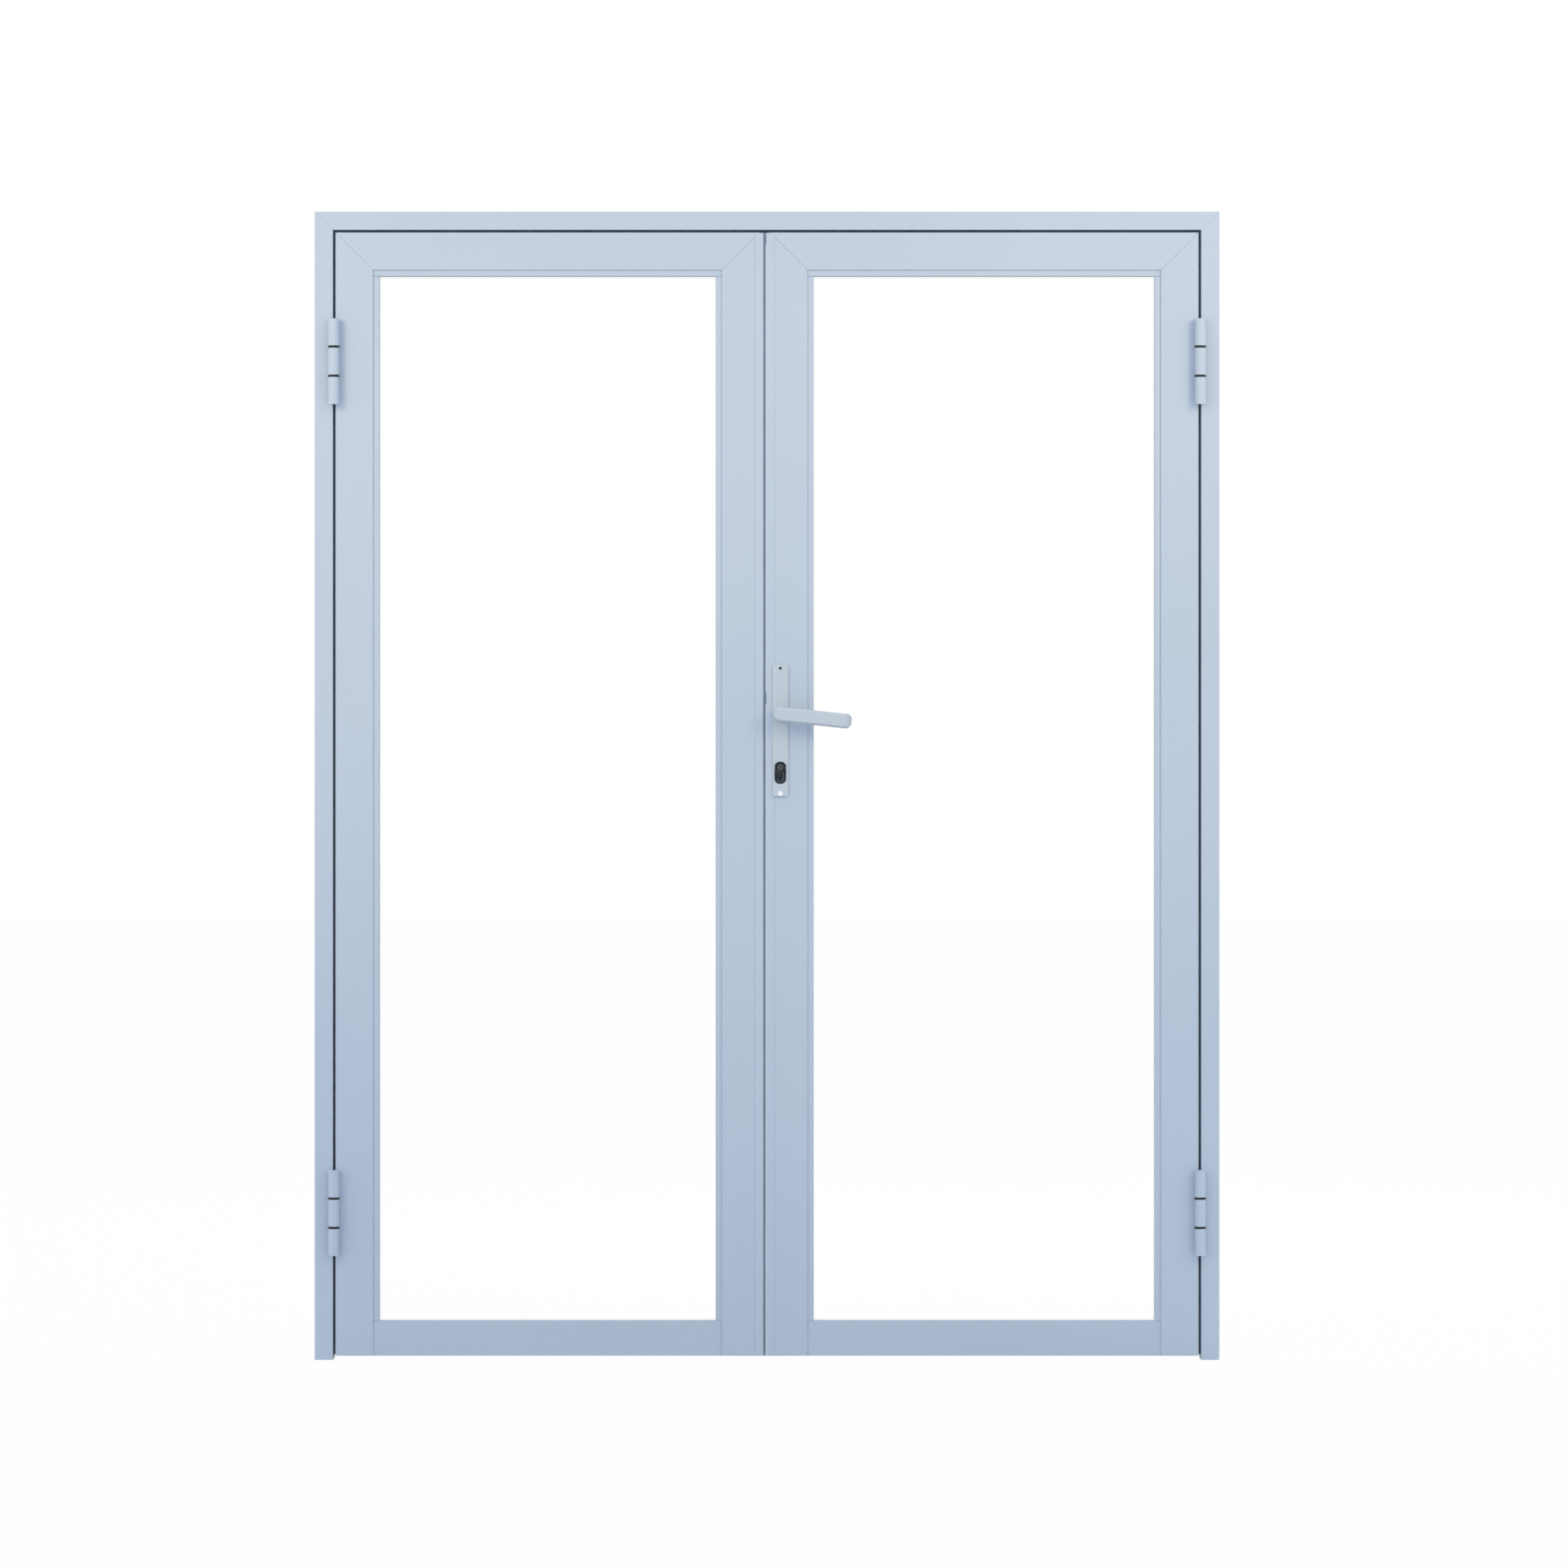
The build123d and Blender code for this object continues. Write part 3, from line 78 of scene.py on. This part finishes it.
def vary_roughness(tree, noise, shader, smoothest, roughest):
    """Lets the noise move the roughness between two limits."""
    limits = tree.nodes.new("ShaderNodeMapRange")
    limits.inputs["To Min"].default_value = smoothest
    limits.inputs["To Max"].default_value = roughest
    tree.links.new(noise.outputs["Fac"], limits.inputs["Value"])
    tree.links.new(limits.outputs["Result"], shader.inputs["Roughness"])


def raise_grain(tree, noise, shader, strength, height):
    bump = tree.nodes.new("ShaderNodeBump")
    bump.inputs["Strength"].default_value = strength
    bump.inputs["Distance"].default_value = height
    tree.links.new(noise.outputs["Fac"], bump.inputs["Height"])
    tree.links.new(bump.outputs["Normal"], shader.inputs["Normal"])


def powder_coat(name, dark, light, smoothest, roughest):
    material, tree, shader = fresh_material(name)
    vary_colour(tree, grain(tree, scale=1.3, detail=2.0), shader, dark, light)
    vary_roughness(tree, grain(tree, scale=6.0, detail=3.0), shader, smoothest, roughest)
    raise_grain(tree, grain(tree, scale=1400.0, detail=2.0), shader, strength=0.35, height=0.00006)
    return material


def from_srgb(red, green, blue):
    """The linear colour of a paint chip read as three 8-bit values."""
    parts = [value / 255 for value in (red, green, blue)]
    return tuple(c / 12.92 if c <= 0.04045 else ((c + 0.055) / 1.055) ** 2.4 for c in parts)


def wears(material, *names):
    """Gives CAD pieces this material."""
    for name in names:
        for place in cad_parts[name].material_slots:
            place.material = material


coated_bar = powder_coat("coated bar", dark=from_srgb(188, 202, 217), light=from_srgb(193, 206, 220),
                         smoothest=0.42, roughest=0.50)
sides = ("left", "right")
leaf_bars = ("hinge_stile", "meeting_stile", "top_rail", "bottom_rail", "glazing_beads",
             "meeting_profile")
wears(coated_bar, "left_jamb", "right_jamb", "head")
for side in sides:
    wears(coated_bar, *[f"{side}_{bar}" for bar in leaf_bars])


# Corner cleats
# Cast aluminium blocks pushed into the chambers of the bars, where two bars meet. They are uncoated, and
# the bars hide them.


def bare_metal(name, dark, light, smoothest, roughest, stretch=(1, 1, 1)):
    material, tree, shader = fresh_material(name)
    shader.inputs["Metallic"].default_value = 1.0
    vary_colour(tree, grain(tree, scale=60.0, detail=3.0, stretch=stretch), shader, dark, light)
    fine = grain(tree, scale=300.0, detail=4.0, stretch=stretch)
    vary_roughness(tree, fine, shader, smoothest, roughest)
    raise_grain(tree, fine, shader, strength=0.2, height=0.00005)
    return material


cast_metal = bare_metal("cast aluminium", dark=(0.36, 0.37, 0.38), light=(0.48, 0.49, 0.50),
                        smoothest=0.5, roughest=0.7)
wears(cast_metal, "left_cleats", "right_cleats", "frame_corner_cleats")


# Glass, with its spacer bars and setting blocks
# Two clear 4 mm float panes in each leaf, sealed to a bare aluminium spacer bar that holds them 16 mm
# apart. The beads hold the panes, which stand on grey plastic blocks.


def clear_glass():
    material, tree, shader = fresh_material("clear float glass")
    shader.inputs["Base Color"].default_value = (1.0, 1.0, 1.0, 1)
    shader.inputs["Roughness"].default_value = 0.0
    shader.inputs["IOR"].default_value = 1.45
    shader.inputs["Transmission Weight"].default_value = 1.0
    return material


def moulded(name, dark, light, smoothest, roughest):
    """Rubber or plastic with a fine, slightly uneven skin."""
    material, tree, shader = fresh_material(name)
    vary_colour(tree, grain(tree, scale=30.0, detail=3.0), shader, dark, light)
    vary_roughness(tree, grain(tree, scale=200.0, detail=3.0), shader, smoothest, roughest)
    raise_grain(tree, grain(tree, scale=1800.0, detail=3.0), shader, strength=0.3, height=0.00008)
    return material


spacer_bar = bare_metal("mill finish spacer", dark=(0.60, 0.61, 0.63), light=(0.70, 0.71, 0.72),
                        smoothest=0.35, roughest=0.5)
block_plastic = moulded("grey plastic", dark=(0.09, 0.09, 0.095), light=(0.12, 0.12, 0.125),
                        smoothest=0.5, roughest=0.6)
wears(clear_glass(), "left_glass_panes", "right_glass_panes")
wears(spacer_bar, "left_spacer", "right_spacer")
wears(block_plastic, "left_setting_blocks", "right_setting_blocks")


# Seals and gaskets
# Black rubber strips: on the frame's stop, where the leaves close on them, and before and behind the
# glass. The fin in the meeting gap is a softer grey one.
black_rubber = moulded("black rubber", dark=(0.010, 0.012, 0.015), light=(0.020, 0.023, 0.028),
                       smoothest=0.6, roughest=0.8)
grey_rubber = moulded("grey rubber", dark=from_srgb(150, 165, 182), light=from_srgb(160, 175, 192),
                      smoothest=0.6, roughest=0.8)
wears(black_rubber, "frame_seals", "left_glazing_gaskets", "right_glazing_gaskets")
wears(grey_rubber, "meeting_fin")


# Hinges
# Three coated barrels turn on a zinc plated pin, with black plastic washers between them. Their legs are
# screwed down in the gap between jamb and leaf.
black_plastic = moulded("black plastic", dark=(0.003, 0.005, 0.007), light=(0.006, 0.009, 0.012),
                        smoothest=0.45, roughest=0.6)
zinc_steel = bare_metal("zinc plated steel", dark=(0.42, 0.43, 0.44), light=(0.56, 0.57, 0.58),
                        smoothest=0.28, roughest=0.42)
for side in sides:
    for end in ("top", "bottom"):
        wears(coated_bar, f"{side}_{end}_hinge_frame_half", f"{side}_{end}_hinge_leaf_half")
wears(black_plastic, "hinge_washers")
wears(zinc_steel, "hinge_pins", "frame_hinge_screws", "left_hinge_screws", "right_hinge_screws")


# Lock and flush bolts
# Brushed stainless plates, latch bolt and dead bolt show in the meeting edges. The lock case and its
# spindle, the flush bolts and their keeper are zinc plated.
lock_steel = bare_metal("brushed stainless", dark=(0.46, 0.46, 0.47), light=(0.56, 0.56, 0.57),
                        smoothest=0.25, roughest=0.4, stretch=(8, 8, 0.4))
wears(lock_steel, "lock_faceplate", "strike_plate", "flush_bolt_plates", "latch_bolt", "dead_bolt")
wears(zinc_steel, "bolt_keeper", "spindle_and_follower", "lock_case", "top_flush_bolt",
      "bottom_flush_bolt")


# Handles and cylinder
# A cast lever and a long plate on each face, coated a little lighter than the bars. Dark plated screws
# hold the plates, the lower one under a white cap, and the dark plated cylinder goes through both.
handle_coat = powder_coat("handle coat", dark=from_srgb(193, 204, 214), light=from_srgb(197, 208, 218),
                          smoothest=0.30, roughest=0.38)
dark_plate = bare_metal("dark nickel plate", dark=(0.020, 0.028, 0.034), light=(0.04, 0.05, 0.06),
                        smoothest=0.2, roughest=0.3)
plug_metal = bare_metal("satin nickel plug", dark=(0.07, 0.08, 0.09), light=(0.13, 0.14, 0.15),
                        smoothest=0.18, roughest=0.3)
white_cap = moulded("white plastic", dark=(0.93, 0.94, 0.95), light=(0.96, 0.97, 0.98),
                    smoothest=0.25, roughest=0.35)
wears(handle_coat, "front_handle_plate", "back_handle_plate", "front_lever", "back_lever")
wears(dark_plate, "cylinder_body", "cylinder_collars", "handle_screws")
wears(plug_metal, "cylinder_plug")
wears(white_cap, "handle_screw_caps")


# Floor
# A wide matt floor. The camera, the glass and gloss see it as nearly plain white, and the small rest of
# its own colour keeps the doors' shadow.
floor_half_width = 40.0
white_share = 0.97


def sight_rays(tree):
    """1 for rays from the camera, through glass and off gloss, and 0 for the light on the doors."""
    path = tree.nodes.new("ShaderNodeLightPath")
    seen = path.outputs["Is Camera Ray"]
    for ray in ("Is Transmission Ray", "Is Glossy Ray"):
        either = tree.nodes.new("ShaderNodeMath")
        either.operation = "MAXIMUM"
        tree.links.new(seen, either.inputs[0])
        tree.links.new(path.outputs[ray], either.inputs[1])
        seen = either.outputs[0]
    return seen


def choose(tree, share, lit, seen, output):
    """Shows the lit shader at a share of 0 and the seen one at 1."""
    mix = tree.nodes.new("ShaderNodeMixShader")
    tree.links.new(share, mix.inputs[0])
    tree.links.new(lit.outputs[0], mix.inputs[1])
    tree.links.new(seen.outputs[0], mix.inputs[2])
    tree.links.new(mix.outputs[0], tree.nodes[output].inputs["Surface"])


def white_floor():
    material, tree, shader = fresh_material("white sweep")
    shader.inputs["Base Color"].default_value = (0.80, 0.80, 0.80, 1)
    shader.inputs["Roughness"].default_value = 0.9
    seen = tree.nodes.new("ShaderNodeEmission")
    seen.inputs["Strength"].default_value = 1.0
    share = tree.nodes.new("ShaderNodeMath")
    share.operation = "MULTIPLY"
    share.inputs[1].default_value = white_share
    tree.links.new(sight_rays(tree), share.inputs[0])
    choose(tree, share.outputs[0], shader, seen, "Material Output")
    return material


floor_mesh = bpy.data.meshes.new("floor")
build = bmesh.new()
bmesh.ops.create_grid(build, x_segments=1, y_segments=1, size=floor_half_width)
build.to_mesh(floor_mesh)
build.free()
floor = bpy.data.objects.new("floor", floor_mesh)
floor_mesh.materials.append(white_floor())
scene.collection.objects.link(floor)


# Studio
# The room gives an even, slightly blue light, and is seen as plain white. Two weak, warm, narrow lamps
# light the upper part of the doors from both sides in front, and a large one lights their back.
world = bpy.data.worlds.new("studio")
scene.world = world
world.use_nodes = True
world_tree = world.node_tree
room = world_tree.nodes["Background"]
room.inputs["Color"].default_value = (0.815, 0.875, 1.0, 1)
room.inputs["Strength"].default_value = 1.0
seen_white = world_tree.nodes.new("ShaderNodeBackground")
seen_white.inputs["Color"].default_value = (1.0, 1.0, 1.0, 1)
seen_white.inputs["Strength"].default_value = 1.0
choose(world_tree, sight_rays(world_tree), room, seen_white, "World Output")


def soft_lamp(name, place, aim, size, power, colour, beam):
    """A square lamp that lights the doors but is not seen itself. The beam is in degrees."""
    data = bpy.data.lights.new(name, "AREA")
    data.shape = "SQUARE"
    data.size = size
    data.spread = math.radians(beam)
    data.energy = power
    data.color = colour
    lamp = bpy.data.objects.new(name, data)
    lamp.location = place
    lamp.rotation_euler = (Vector(aim) - Vector(place)).to_track_quat("-Z", "Y").to_euler()
    lamp.visible_camera = False
    lamp.visible_glossy = False
    lamp.visible_transmission = False
    scene.collection.objects.link(lamp)


warm = (1.0, 0.79, 0.45)
white = (1.0, 1.0, 1.0)
for name, way in (("left lamp", -1), ("right lamp", 1)):
    soft_lamp(name, place=(way * 2.9, -3.0, 3.0), aim=(way * 1.05, 0, 1.9), size=1.4, power=4.8,
              colour=warm, beam=46)
soft_lamp("back lamp", place=(1.5, 4.0, 3.4), aim=(0, 0, 1.0), size=2.4, power=60.0,
          colour=white, beam=180)

scene.view_settings.view_transform = "Standard"
